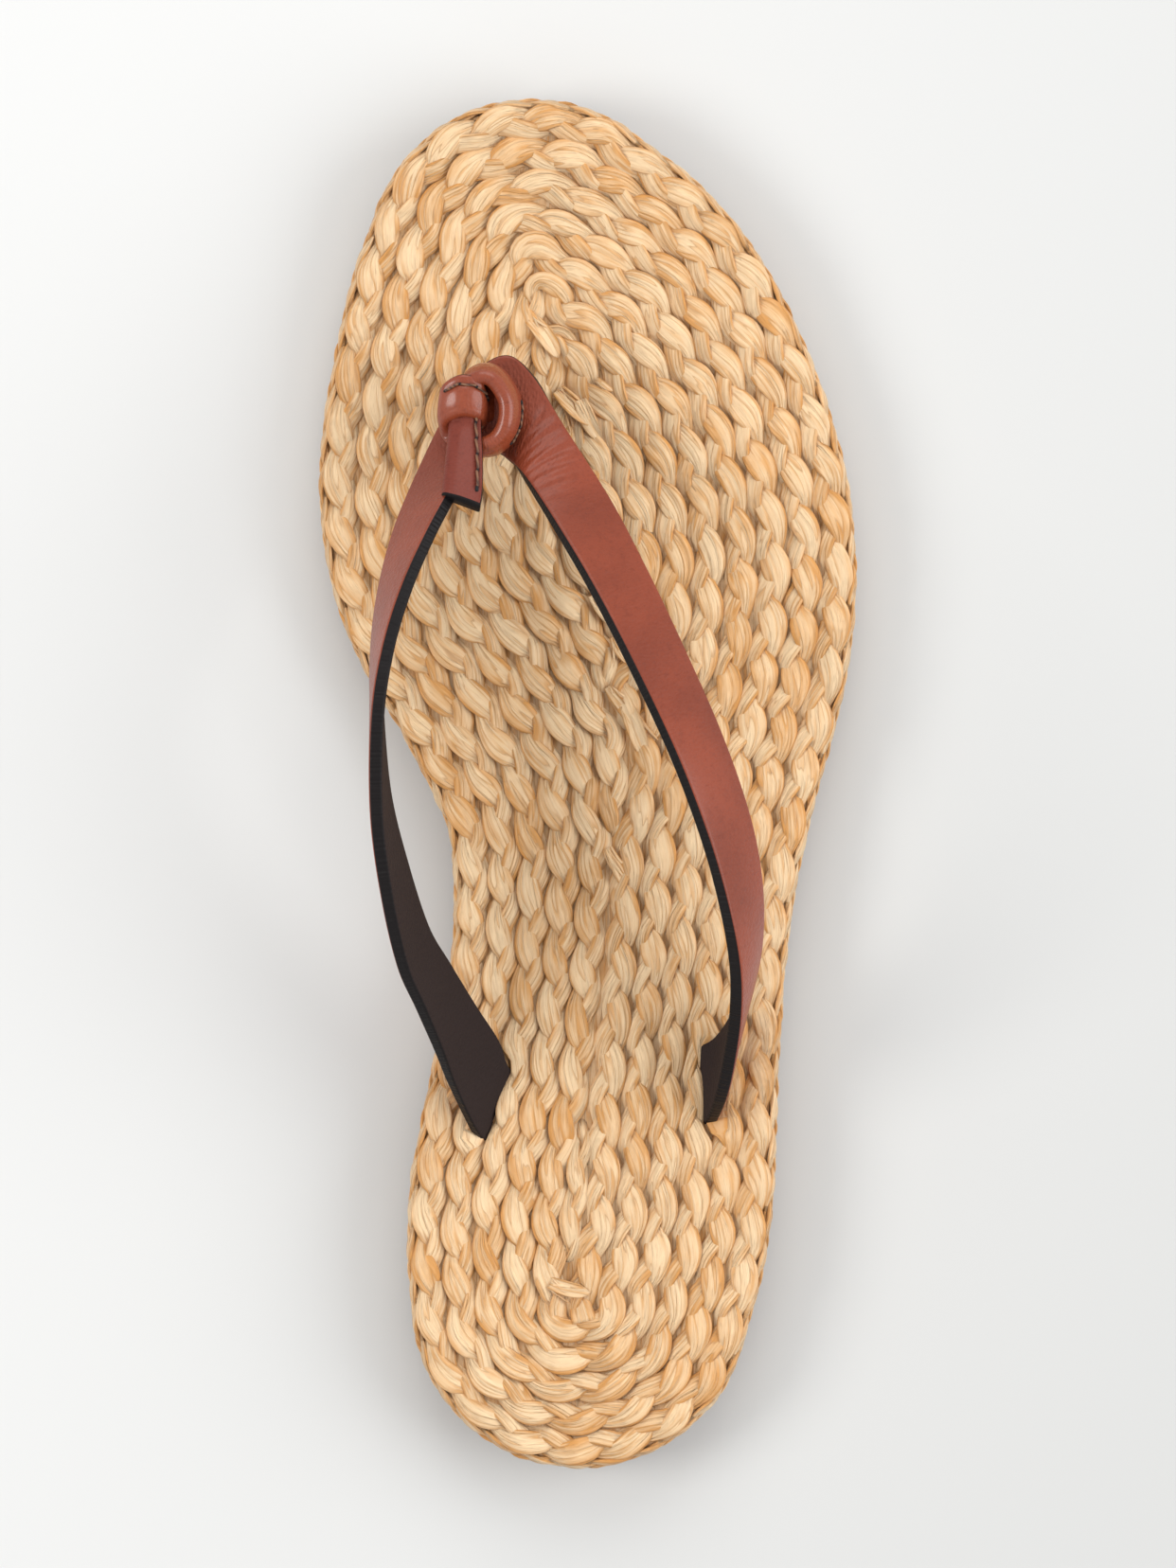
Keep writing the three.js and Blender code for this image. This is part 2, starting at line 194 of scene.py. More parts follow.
class Wire:
    # an output socket in a material: sums on it add Math nodes, and node() adds any other node
    def __init__(self, tree, socket=None):
        self.tree = tree
        self.socket = socket

    def node(self, kind, settings, inputs, output=0):
        made = self.tree.nodes.new(kind)
        for name, value in settings.items():
            setattr(made, name, value)
        for name, value in inputs.items():
            if isinstance(value, Wire):
                self.tree.links.new(value.socket, made.inputs[name])
            else:
                made.inputs[name].default_value = value
        return Wire(self.tree, made.outputs[output])

    def math(self, operation, *values):
        return self.node("ShaderNodeMath", {"operation": operation}, dict(enumerate(values)))

    def __add__(self, other):
        return self.math("ADD", self, other)

    def __radd__(self, other):
        return self.math("ADD", other, self)

    def __sub__(self, other):
        return self.math("SUBTRACT", self, other)

    def __rsub__(self, other):
        return self.math("SUBTRACT", other, self)

    def __mul__(self, other):
        return self.math("MULTIPLY", self, other)

    def __rmul__(self, other):
        return self.math("MULTIPLY", other, self)

    def __pow__(self, other):
        return self.math("POWER", self, other)

    def rise(self, low, high):
        # 0 below low, 1 above high, smooth between
        return self.node("ShaderNodeMapRange", {"interpolation_type": "SMOOTHSTEP"},
                         {"Value": self, "From Min": low, "From Max": high})

    def noise(self, vector, scale, detail, roughness):
        return self.node("ShaderNodeTexNoise", {},
                         {"Vector": vector, "Scale": scale, "Detail": detail, "Roughness": roughness})

    def stretch(self, vector, factors):
        return self.node("ShaderNodeVectorMath", {"operation": "MULTIPLY"}, {0: vector, 1: factors})

    def blend(self, low, high, factor):
        colours = [value if isinstance(value, Wire) else (*value, 1) for value in (low, high)]
        return self.node("ShaderNodeMix", {"data_type": "RGBA"},
                         {0: factor, 6: colours[0], 7: colours[1]}, 2)

    def bump(self, height, distance, strength, normal=None):
        inputs = {"Height": height, "Distance": distance, "Strength": strength}
        if normal:
            inputs["Normal"] = normal
        return self.node("ShaderNodeBump", {}, inputs)


def newMaterial(name):
    material = bpy.data.materials.new(name)
    material.use_nodes = True
    return material, Wire(material.node_tree), material.node_tree.nodes["Principled BSDF"]


def connect(shader, settings):
    for name, value in settings.items():
        if isinstance(value, Wire):
            shader.id_data.links.new(value.socket, shader.inputs[name])
        else:
            shader.inputs[name].default_value = value


def mapAttribute(wire, name):
    return wire.node("ShaderNodeAttribute", {"attribute_name": name}, {}, "Vector")


def objectPlace(wire):
    return wire.node("ShaderNodeTexCoord", {}, {}, "Object")


def axisOf(wire, vector, number):
    return wire.node("ShaderNodeSeparateXYZ", {}, {0: vector}, number)


# Raffia: fibres run along each strand as fine streaks. The attribute fibre holds millimetres along
# and across the strand and a number of its own for each strand; leaf holds the tone of each visible
# length, how high a point lies in the plait, and how near it is to the strand's edge. Points low in
# the plait are painted darker, as shade in the crevices between strands and rows.
raffia = {
    "pale": (0.93, 0.670, 0.395),
    "gold": (0.69, 0.318, 0.082),
    "shade": (0.50, 0.215, 0.060),
    "paintedCreviceShade": (0.16, 0.065, 0.022),
    "foldDepth": 0.00032,  # reliefs, in metres
    "ribDepth": 0.00045,
    "grooveDepth": 0.00024,
}


def makeRaffia():
    material, wire, shader = newMaterial("raffia")
    fibre = mapAttribute(wire, "fibre")
    leaf = mapAttribute(wire, "leaf")
    tone, lift, rim = (axisOf(wire, leaf, number) for number in range(3))
    # folded ribbons: a slow height cut into steps, with a dark line and a golden rim at each step
    slow = wire.noise(wire.stretch(fibre, (0.055, 0.60, 1.0)), 1.0, 1.0, 0.4)
    steps = wire.math("FRACT", slow * 5.0)
    foldLine = 1 - steps.rise(0.0, 0.13)
    foldRim = steps.rise(0.55, 1.0)
    streaks = wire.noise(wire.stretch(fibre, (0.07, 3.0, 1.0)), 1.0, 5.0, 0.66)
    fine = wire.noise(wire.stretch(fibre, (0.20, 8.5, 1.0)), 1.0, 3.0, 0.6)
    patches = wire.noise(wire.stretch(fibre, (0.16, 0.5, 1.0)), 1.0, 2.0, 0.5)
    golden = tone * 0.40 + patches * 0.95 + streaks * 0.85 + rim**3 * 0.48 + foldRim * 0.34 - 0.84
    colour = wire.blend(raffia["pale"], raffia["gold"], golden.rise(0.0, 1.0))
    colour = wire.blend(colour, raffia["shade"], fine.rise(0.56, 0.74) * 0.30 + foldLine * 0.60)
    colour = wire.blend(colour, raffia["shade"], streaks.rise(0.60, 0.78) * 0.34)
    # painted shade: the lower a point lies in the plait, the nearer its colour comes to the crevice shade
    colour = wire.blend(colour, raffia["paintedCreviceShade"], (1 - lift.rise(0.0, 0.50)) * 0.66)
    rough = 0.32 + streaks * 0.24
    folds = wire.bump(steps, raffia["foldDepth"], 0.9)
    ribs = wire.bump(streaks, raffia["ribDepth"], 0.8, folds)
    grooves = wire.bump(fine, raffia["grooveDepth"], 0.8, ribs)
    connect(shader, {"Base Color": colour, "Roughness": rough, "Normal": grooves,
                     "Specular IOR Level": 0.42, "Sheen Weight": 0.05})
    return material


leather = {
    "paint": (0.010, 0.008, 0.008),
    "lining": (0.030, 0.020, 0.018),
    "foldDepth": 0.0006,  # reliefs, in metres
    "grainDepth": 0.00022,
}


def makeLeather(name, look):
    # Smooth leather. The attribute hide holds millimetres along and across the strip, and a mark:
    # 1 on the leather's face, 0 on its painted edges and -1 on the dark lining.
    material, wire, shader = newMaterial(name)
    hide = mapAttribute(wire, "hide")
    mark = axisOf(wire, hide, 2)
    place = objectPlace(wire)
    pores = wire.noise(place, 2400.0, 3.0, 0.6)
    pebbles = wire.node("ShaderNodeTexVoronoi", {"feature": "SMOOTH_F1"},
                        {"Vector": wire.stretch(hide, (1.9, 1.1, 0.0)), "Scale": 1.0, "Smoothness": 0.4})
    clouds = wire.noise(place, 55.0, 3.0, 0.5)
    rubbed = wire.noise(place, 700.0, 3.0, 0.6)
    colour = wire.blend(look["deep"], look["bright"], clouds.rise(0.24, 0.76))
    colour = wire.blend(colour, look["dark"], pores.rise(0.50, 0.75) * 0.28 + rubbed.rise(0.50, 0.75) * 0.25)
    face = mark.rise(0.25, 0.60)
    lining = (0 - mark).rise(0.35, 0.75)
    colour = wire.blend(leather["paint"], colour, face)
    colour = wire.blend(colour, leather["lining"], lining)
    rough = look["roughness"] + clouds * 0.10 + rubbed * 0.08 + lining * 0.42
    wrinkles = wire.noise(wire.stretch(hide, (0.9, 0.16, 0.0)), 1.0, 3.0, 0.55)
    worn = wire.noise(place, 90.0, 2.0, 0.5).rise(0.35, 0.70)
    folds = wire.bump(wrinkles, leather["foldDepth"], look["wrinkles"] * worn)
    relief = wire.bump(pebbles * 0.8 + pores * 0.5, leather["grainDepth"], 0.90, folds)
    connect(shader, {"Base Color": colour, "Roughness": rough, "Normal": relief, "Coat Roughness": 0.20,
                     "Specular IOR Level": look["shine"], "Coat Weight": face * look["coat"]})
    return material


# Sole: spine and side profile as in the solid model

sole = {
    "length": 252.0,
    "ballWidth": 99.0,
    "outsoleThickness": 3.2,
    "outsoleInset": 1.3,
    "footbedThickness": 9.5,
    "toeSpring": 4.0,
    "clearance": 0.3,
    "outsoleCorner": 0.5,
    "outsoleBevel": 0.15,  # the ring halfway round that corner, in from both faces
    "endsAbove": 0.2,  # strap and post end this far above the footbed's underside
    "sideSteps": 420,  # stations along a side and round an end
    "endSteps": 90,
    # share of the ball width across, share of the way from heel to toe centre, reach to the edge
    "spine": [(-0.016, 0.000, 0.316), (0.003, 0.090, 0.338), (0.041, 0.254, 0.316), (0.064, 0.388, 0.316),
              (0.073, 0.511, 0.352), (0.045, 0.660, 0.448), (-0.008, 0.766, 0.491), (-0.047, 0.898, 0.425),
              (-0.104, 1.000, 0.313)],
    # share of the length, underside as a share of the toe spring, thickness share of the outsole
    "profile": [(0.000, 0.00, 1.60), (0.235, 0.00, 1.60), (0.270, 0.42, 1.06), (0.400, 0.28, 1.02),
                (0.540, 0.00, 1.00), (0.800, 0.00, 1.00), (0.860, 0.09, 1.00), (0.930, 0.42, 1.00),
                (1.000, 1.00, 1.00)],
}
profile = np.array(sole["profile"])


def groundHeight(y):
    return sole["toeSpring"] * np.interp(y / sole["length"] + 0.5, profile[:, 0], profile[:, 1])


def outsoleTop(y):
    share = np.interp(y / sole["length"] + 0.5, profile[:, 0], profile[:, 2])
    return groundHeight(y) + sole["outsoleThickness"] * share


def footbedUnder(y):
    return outsoleTop(y) + sole["clearance"]


def footbedTop(y):
    return footbedUnder(y) + sole["footbedThickness"]


def stationsRound(sideCount, arcCount):
    # the edge touches every circle of radius reach round the spine: from a spine point it lies in
    # the direction heading -+ arccos(-change of reach per step along the spine)
    table = np.array(sole["spine"])
    heelCentre = -sole["length"] / 2 + table[0, 2] * sole["ballWidth"]
    toeCentre = sole["length"] / 2 - table[-1, 2] * sole["ballWidth"]
    rows = np.stack([table[:, 0] * sole["ballWidth"],
                     heelCentre + table[:, 1] * (toeCentre - heelCentre),
                     table[:, 2] * sole["ballWidth"]], axis=1)
    spine = catmullRom(rows, sideCount)
    ahead = np.gradient(spine, axis=0)
    heading = np.arctan2(ahead[:, 1], ahead[:, 0])
    lean = np.arccos(-ahead[:, 2] / np.hypot(ahead[:, 0], ahead[:, 1]))
    outer = np.column_stack([spine, heading - lean])
    inner = np.column_stack([spine, heading + lean])[::-1]

    def arc(start, end):
        sweep = (end[3] - start[3]) % (2 * math.pi)
        turn = np.linspace(0, sweep, arcCount + 1)[1:-1]
        return np.column_stack([np.tile(start[:3], (len(turn), 1)), start[3] + turn])

    parts = [outer, arc(outer[-1], inner[0]), inner, arc(inner[-1], outer[0])]
    sideOf = np.concatenate([np.full(len(part), k) for k, part in enumerate(parts)])
    stations = np.vstack(parts)
    edge = inFromEdge(stations, 0)
    stations[:, :2] -= (edge.min(0) + edge.max(0)) / 2
    return stations, sideOf


def inFromEdge(stations, inset):
    reach = stations[:, 2] - inset
    ways = np.column_stack([np.cos(stations[:, 3]), np.sin(stations[:, 3])])
    return stations[:, :2] + reach[:, None] * ways


def ringsSolid(stations, rings):
    # grid of rings round the sole: each ring is an inset, the surface that it follows and how far
    # above that surface it lies
    layers = []
    for inset, surface, above in rings:
        points = inFromEdge(stations, np.minimum(inset, stations[:, 2]))
        layers.append(np.column_stack([points, surface(points[:, 1]) + above]))
    return np.stack(layers, axis=0)


print("sole stations")
stations, sideOf = stationsRound(sole["sideSteps"], sole["endSteps"])

# Plaited rows of the footbed

plait = {
    "edge": 1.6,  # from the sole's outline to the first row
    "pitch": 5.85,  # widest rows
    "period": 28.5,  # length of one full turn of a strand
    "swing": 0.345,  # side swing, half width of a strand: shares of the pitch
    "halfWidth": 0.380,
    "narrow": 0.56,  # share of its width that a strand loses where it runs underneath
    "late": 0.26,  # how much later than its turn a strand rises and dives, in radians
    "bob": 0.46,  # up and down swing and half thickness, in millimetres
    "halfThickness": 0.50,
    "roll": 0.22,  # turn of the whole row that lifts its outer side, in radians
    "tilt": 0.34,  # a strand leans outwards at the row's edge, in radians
    "outerShare": 0.13,  # strands are broader on the outer side of the row by this share
    "step": 0.75,
    "soften": 1.5,  # length over which a row's path is smoothed
    "evened": 16,  # stations over which the ways to the edge are
    "ring": 14,
    "tuckDepth": 2.6,  # how far the end of a row dives under its neighbour
    "toeFrom": 45.0,  # the later rows turn back beyond this y, at the first of these shares
    "turnShares": (0.34, 0.02),
    # how many rows fit where a further one opens, its side (0 outer, 1 inner) and number from 0
    "openings": [(10.35, 1, 5), (12, 0, 6), (13, 1, 6), (14, 0, 7), (15, 1, 7)],
    "toeRows": 10,
    "partReach": 5.0,  # how far from an upright the strands still part
}


def rowShares():
    # How rows share the width at every station. Eleven rows fit across the heel and the waist, ten
    # across the toe, and more between them. From the heel to the widest place rows six inner, seven
    # outer, seven inner, eight outer and eight inner open one after the other; from there to the
    # toe the same rows close in pairs. A row's share grows from 0 to 1 where it opens.
    widest = stations[np.argmax(stations[:, 2]), 1]
    room = 2 * (stations[:, 2] - plait["edge"])
    fit = room / plait["pitch"]
    towardToe = stations[:, 1] > widest
    shares = np.ones((2, 8, len(stations)))
    for opens, side, row in plait["openings"]:
        shares[side, row] = smoothStep(0, 1, fit - opens)
    for pair, row in enumerate((5, 6, 7)):
        closing = smoothStep(0, 1, (fit - plait["toeRows"] - 2 * pair) / 2)
        shares[:, row] = np.where(towardToe, closing, shares[:, row])
    pitch = room / shares.sum(axis=(0, 1))
    return shares, pitch


rowShare, rowPitch = rowShares()
# the way from the spine to the edge, evened out so that the inner rows run smoothly
outward = np.column_stack([np.cos(stations[:, 3]), np.sin(stations[:, 3])])
outward = unit(blur(outward, plait["evened"], True))


def rowPath(row):
    # centre line of one row, counter-clockwise: every station pushed in by the width of the rows
    # before it. Rows up to the fifth are closed. The later ones run up the outer side, turn round
    # where their share closes near the toe, and run down the inner side; their other ends dive
    # under the neighbours. The sixth begins at the heel's centre, where its cut end lies on top.
    onOuter = (sideOf == 0) | (sideOf == 3)
    shares = np.where(onOuter, rowShare[0], rowShare[1])
    share = shares[row - 1]
    left = stations[:, 2] - plait["edge"] - (shares[:row - 1].sum(axis=0) + share / 2) * rowPitch
    flat = stations[:, :2] + left[:, None] * outward
    atToe = stations[:, 1] > plait["toeFrom"]
    deep = np.where(atToe, 0, 1 - smoothStep(0.0, 0.28, share))
    full = np.column_stack([flat, rowPitch * (0.45 + 0.55 * share), deep])
    if row <= 5:
        return full, True
    turnsBack = np.where(atToe, *plait["turnShares"])
    outer = np.flatnonzero((sideOf == 0) & (share > turnsBack))
    inner = np.flatnonzero((sideOf == 2) & (share > turnsBack))
    path = np.vstack([full[outer], full[inner]])
    if row == 6:
        below = path[0] - np.outer([4.0, 2.7, 1.3], [0.1, 1, 0, 0])
        path = np.vstack([below, path])
    return path, False


def partAround(points, along):
    # strands part round what comes up through the footbed: a distance d to its line becomes
    # the root of d squared plus its half width squared, fading out a little further off
    for start, end, half in along:
        start, end = np.array(start), np.array(end)
        axis = end - start
        share = np.clip(((points[..., :2] - start) @ axis) / (axis @ axis), 0, 1)
        away = points[..., :2] - (start + share[..., None] * axis)
        distance = np.maximum(np.linalg.norm(away, axis=-1), 1e-6)
        wanted = np.sqrt(distance**2 + half**2)
        fade = np.exp(-(distance / plait["partReach"])**2)
        points[..., :2] += away / distance[..., None] * ((wanted - distance) * fade)[..., None]
    return points


def wander(along, total, waves):
    # slow change between about -1 and 1 that joins up with itself over the whole length
    return sum(np.sin(2 * math.pi * round(total / wave) * along / total + rng.uniform(0, 6.28))
               for wave in waves) / len(waves)


def strandGrids(path, side, up, pitch, deep, closed, look):
    # Three strands of a plait. With t the turn along the row, a strand's middle is
    #   path + swing sin(t) side - bob sin(2t - late) up, a third of a turn apart,
    # so that it lies on top wherever it runs from an edge to the middle. Its section is an oval
    # that is broadest there, leans outwards at the row's edges and narrows to both ends of every
    # visible length: half width (1 - narrow (1 - sin(pi share)^1.5)).
    count = len(path)
    along = lengthsAlong(np.vstack([path, path[:1]]) if closed else path)
    total = along[-1]
    along = along[:count]
    turns = max(round(total / look["period"]), 1) if closed else total / look["period"]
    start = rng.uniform(0, 2 * math.pi)
    angle = np.linspace(0, 2 * math.pi, look["ring"], endpoint=False)
    wide = np.sign(np.cos(angle)) * np.abs(np.cos(angle))**0.92
    thick = np.sin(angle)
    leafLength = total / turns / 2
    grids = []
    for strand in range(3):
        wobble = wander(along, total, (34.0, 21.0, 13.0))
        shift = wander(along, total, (29.0, 17.0, 11.0))
        t = start + 2 * math.pi * (turns * along / total + strand / 3) + 0.10 * shift
        # every visible length, or leaf, runs from one hidden crossing to the next and has its own tone
        place = (t - math.pi / 4 - look["late"] / 2) / math.pi
        leafNumber = np.floor(place).astype(int)
        share = place - leafNumber
        wrapped = (leafNumber - leafNumber.min()) % (2 * turns) if closed else leafNumber - leafNumber.min()
        chances = rng.random((int(wrapped.max()) + 1, 3))
        own = chances[wrapped.astype(int)]
        top = np.sin(math.pi * share)**2
        high = 2 * top - 1
        outer = np.sin(t) > 0
        lateral = look["swing"] * pitch * np.sin(t) * (1 - 0.14 * (1 - top)) * (1 + 0.08 * wobble)
        lifted = look["bob"] * high + 0.22 * (own[:, 0] - 0.5) * top + 0.08 * wobble
        lifted = lifted - plait["tuckDepth"] * deep
        middle = path + side * lateral[:, None] + up * lifted[:, None]
        forward = unit(slope(middle, closed))
        lean = look["tilt"] * np.sin(t) + 0.24 * (own[:, 1] - 0.5) * top
        facing = up * np.cos(lean)[:, None] + side * np.sin(lean)[:, None]
        across = unit(np.cross(forward, facing))
        normal = np.cross(across, forward)
        broad = (1 - look["narrow"] * (1 - top**0.75)) * (1 + 0.20 * (own[:, 2] - 0.5) * top)
        broad = broad * (1 + look["outerShare"] * np.where(outer, top, -top))
        halfWide = look["halfWidth"] * pitch * broad
        halfThick = look["halfThickness"] * (0.80 + 0.22 * top + 0.06 * wobble)
        points = (middle[:, None] + across[:, None] * (halfWide[:, None] * wide)[..., None]
                  + normal[:, None] * (halfThick[:, None] * thick)[..., None])
        reach = look["bob"] + look["halfThickness"]
        lift = (lifted[:, None] + halfThick[:, None] * thick + reach) / (2 * reach)
        fibre = columns(points, (share * leafLength)[:, None], plait["halfWidth"] * plait["pitch"] * wide,
                        (own[:, 0] * 90)[:, None])
        leaf = columns(points, own[:, 1][:, None], lift, np.abs(wide))
        grids.append(makeGrid(points, closed, fibre=fibre, leaf=leaf))
    return grids


raffiaMaterial = makeRaffia()
uprights = [((-21.2, -64.8), (-16.2, -51.6), 1.9), ((23.8, -62.6), (22.7, -47.9), 1.9),
            ((-18.5, 66.0), (-18.5, 72.6), 2.0)]


def outAndUp(path, closed):
    # the level way out of a path that runs counter-clockwise, and straight up, at every point
    ahead = slope(path[:, :2], closed)
    out = unit(np.column_stack([ahead[:, 1], -ahead[:, 0], np.zeros(len(path))]))
    return out, np.tile([0.0, 0.0, 1.0], (len(path), 1))


def plaitedRow(row):
    flat, closed = rowPath(row)
    even = evenPath(flat, plait["step"], closed, plait["soften"])
    pitch = even[:, 2]
    out, upward = outAndUp(even, closed)
    side = out * math.cos(plait["roll"]) + upward * math.sin(plait["roll"])
    up = upward * math.cos(plait["roll"]) - out * math.sin(plait["roll"])
    depth = plait["bob"] + plait["halfThickness"] + 0.22 * pitch * math.sin(plait["roll"])
    path = np.column_stack([even[:, :2], footbedTop(even[:, 1]) - depth])
    grids = strandGrids(path, side, up, pitch, even[:, 3], closed, plait)
    for grid in grids:
        grid["points"] = partAround(grid["points"], uprights)
    return grids


rowGroups = {"plait_outer_rows": (1, 2), "plait_middle_rows": (3, 4), "plait_inner_rows": (5, 6, 7, 8)}
for name, rows in rowGroups.items():
    grids = [grid for row in rows for grid in plaitedRow(row)]
    addPiece(makeMesh(name, grids, raffiaMaterial), "raffia", "footbed_braid")
    print("footbed rows", rows)

# Ends of the rows: small torn ribbons beside a longer pale one, each lying along its row

frays = {
    # place, direction in degrees from +X, length and width of the longest ribbon, its tone, and
    # its height over the footbed
    "ends": [(0.6, 34.6, -62, 6.5, 2.0, 0.3, -0.35), (4.6, 27.0, -70, 5.5, 1.8, 0.5, -0.35),
             (3.6, 17.8, -58, 6.0, 1.9, 0.2, -0.35), (7.0, 14.6, -68, 10.5, 3.4, 0.0, -0.30),
             (3.6, -11.8, -66, 8.0, 2.0, 0.6, -0.35), (1.5, 74.5, -40, 3.8, 1.4, 0.6, -0.35),
             (23.4, -46.6, -85, 3.0, 1.2, 0.6, -0.35), (-19.6, -63.8, 80, 3.0, 1.2, 0.5, -0.35),
             (-10.6, 85.6, -46, 8.8, 3.5, 0.4, 0.05), (-5.6, 72.4, -50, 9.2, 3.6, 0.6, 0.05),
             (-1.6, 70.6, -72, 8.4, 3.0, 0.2, 0.0), (-7.0, -91.6, -24, 7.6, 2.9, 0.4, 0.05)],
    "count": 5,
    "rise": 0.5,  # how far the longest ribbon bows up
    "steps": 14,
    "ring": 10,
    "droop": 0.5,  # how far its tip hangs lower than its start
    "halfThickness": 0.16,
    "curl": 0.18,  # hollow across, as a share of its half width
    # least and greatest length share, width, and bow of the small ribbons
    "smallLength": (0.45, 0.95),
    "smallWidth": (0.35, 0.8),
    "smallRise": (0.2, 0.7),
}


def ribbon(start, heading, length, width, tone, rise):
    # flat ribbon: it bows up by rise times sin(pi u) and narrows as the root of 1 - u to the sixth,
    # with u from 0 to 1 along it; the section is a flat oval
    u = np.linspace(0, 1, frays["steps"])
    turned = heading + 0.5 * rng.uniform(-1, 1) * u
    step = length / (frays["steps"] - 1)
    x = start[0] + np.concatenate([[0], np.cumsum(np.cos(turned[1:]) * step)])
    y = start[1] + np.concatenate([[0], np.cumsum(np.sin(turned[1:]) * step)])
    z = start[2] + rise * np.sin(math.pi * u) - frays["droop"] * u
    middle = np.column_stack([x, y, z])
    forward = unit(np.gradient(middle, axis=0))
    side = unit(np.cross(forward, np.array([rng.uniform(-0.4, 0.4), rng.uniform(-0.4, 0.4), 1.0])))
    up = np.cross(side, forward)
    half = width / 2 * np.sqrt(np.maximum(1 - u**6, 0.04)) * (0.75 + 0.25 * np.sin(math.pi * u))
    angle = np.linspace(0, 2 * math.pi, frays["ring"], endpoint=False)
    bend = frays["curl"] * half[:, None] * np.sin(angle * 2 + 1.0)
    points = (middle[:, None] + side[:, None] * (half[:, None] * np.cos(angle))[..., None]
              + up[:, None] * (frays["halfThickness"] * np.sin(angle) + bend)[..., None])
    fibre = columns(points, (u * length)[:, None], half[:, None] * np.cos(angle), rng.uniform(0, 90))
    leaf = columns(points, tone, 0.9, np.abs(np.cos(angle)))
    return makeGrid(points, fibre=fibre, leaf=leaf)


def frayedEnds():
    grids = []
    for x, y, degrees, length, width, tone, lift in frays["ends"]:
        z = float(footbedTop(y)) + lift
        heading = math.radians(degrees)
        grids.append(ribbon((x, y, z), heading, length, width, tone, frays["rise"]))
        for _ in range(frays["count"]):
            off = rng.uniform(-0.4, 0.4) * width
            start = (x - off * math.sin(heading), y + off * math.cos(heading), z - 0.1)
            grids.append(ribbon(start, heading + rng.uniform(-0.35, 0.35),
                                length * rng.uniform(*frays["smallLength"]),
                                rng.uniform(*frays["smallWidth"]), rng.uniform(0, 1),
                                rng.uniform(*frays["smallRise"])))
    return grids


addPiece(makeMesh("frayed_ends", frayedEnds(), raffiaMaterial), "raffia")

# Band of plait round the side

band = {
    "rows": 2,
    "period": 21.0,
    "swing": 0.275,
    "halfWidth": 0.35,
    "narrow": 0.40,
    "late": 0.42,
    "bob": 0.32,
    "halfThickness": 0.52,
    "tilt": 0.40,
    "outerShare": 0.0,
    "ring": 10,
    "inset": 0.95,  # from the sole's outline to the middle of the band
    "below": 0.9,  # from the footbed's top down to the band
    "step": 1.0,
    "soften": 0.8,
}


def bandRow(number):
    edge = np.column_stack([inFromEdge(stations, band["inset"]), np.zeros(len(stations))])
    even = evenPath(edge, band["step"], True, band["soften"])
    low = footbedUnder(even[:, 1])
    high = footbedTop(even[:, 1]) - band["below"]
    share = (number + 0.5) / band["rows"]
    path = np.column_stack([even[:, :2], low + (high - low) * share])
    out, upward = outAndUp(path, True)
    return strandGrids(path, -upward, out, (high - low) / band["rows"], np.zeros(len(path)), True, band)


grids = [grid for number in range(band["rows"]) for grid in bandRow(number)]
addPiece(makeMesh("plait_side_band", grids, raffiaMaterial), "raffia", "edge_braid")
print("side band")


# Ground under the plait, and the leather outsole

toSpine = sole["ballWidth"]  # an inset that reaches the sole's spine everywhere


def makeGround():
    sunk = -1.7
    rings = [(toSpine, footbedUnder, 0.0), (6.0, footbedUnder, 0.0), (2.0, footbedUnder, 0.0),
             (1.5, footbedUnder, 0.4), (1.5, footbedTop, -1.9), (2.0, footbedTop, -1.5),
             (6.0, footbedTop, sunk), (12.0, footbedTop, sunk), (20.0, footbedTop, sunk),
             (toSpine, footbedTop, sunk)]
    points = ringsSolid(stationsRound(sole["sideSteps"] // 3, sole["endSteps"] // 3)[0], rings)
    # the ground's height in leaf, 0.28, darkens it part way toward the crevice colour: painted shade between
    # the rows
    grid = makeGrid(points, pinched=True, fibre=columns(points, points[..., 1], points[..., 0], 5.0),
                    leaf=columns(points, 0.8, 0.28, 0.5))
    return makeMesh("footbed_ground", [grid], raffiaMaterial)


def makeOutsole(material):
    inset, corner, bevel = sole["outsoleInset"], sole["outsoleCorner"], sole["outsoleBevel"]
    rings = [(toSpine, groundHeight, 0.0), (12.0, groundHeight, 0.0), (inset + corner, groundHeight, 0.0),
             (inset + bevel, groundHeight, bevel), (inset, groundHeight, corner),
             (inset, outsoleTop, -corner), (inset + bevel, outsoleTop, -bevel),
             (inset + corner, outsoleTop, 0.0), (12.0, outsoleTop, 0.0), (toSpine, outsoleTop, 0.0)]
    points = ringsSolid(stationsRound(sole["sideSteps"] // 2, sole["endSteps"] // 2)[0], rings)
    grid = makeGrid(points, pinched=True, hide=columns(points, points[..., 0], points[..., 1], 1.0))
    return makeMesh("outsole_leather", [grid], material)


def makeSoleLeather():
    material, wire, shader = newMaterial("sole leather")
    place = objectPlace(wire)
    clouds = wire.noise(place, 45.0, 4.0, 0.6)
    grain = wire.noise(place, 2200.0, 2.0, 0.6)
    layers = wire.noise(wire.stretch(place, (1.0, 1.0, 40.0)), 90.0, 3.0, 0.6)
    colour = wire.blend((0.13, 0.062, 0.032), (0.22, 0.115, 0.062), clouds.rise(0.3, 0.7))
    colour = wire.blend(colour, (0.08, 0.038, 0.02), layers.rise(0.55, 0.75) * 0.4)
    relief = wire.bump(grain + layers * 0.6, 0.00006, 0.5)
    connect(shader, {"Base Color": colour, "Roughness": 0.48 + clouds * 0.2, "Normal": relief})
    return material


addPiece(makeGround(), "raffia", "footbed_braid")
addPiece(makeOutsole(makeSoleLeather()), "sole_leather", "outsole")
print("ground and outsole")

# Strap

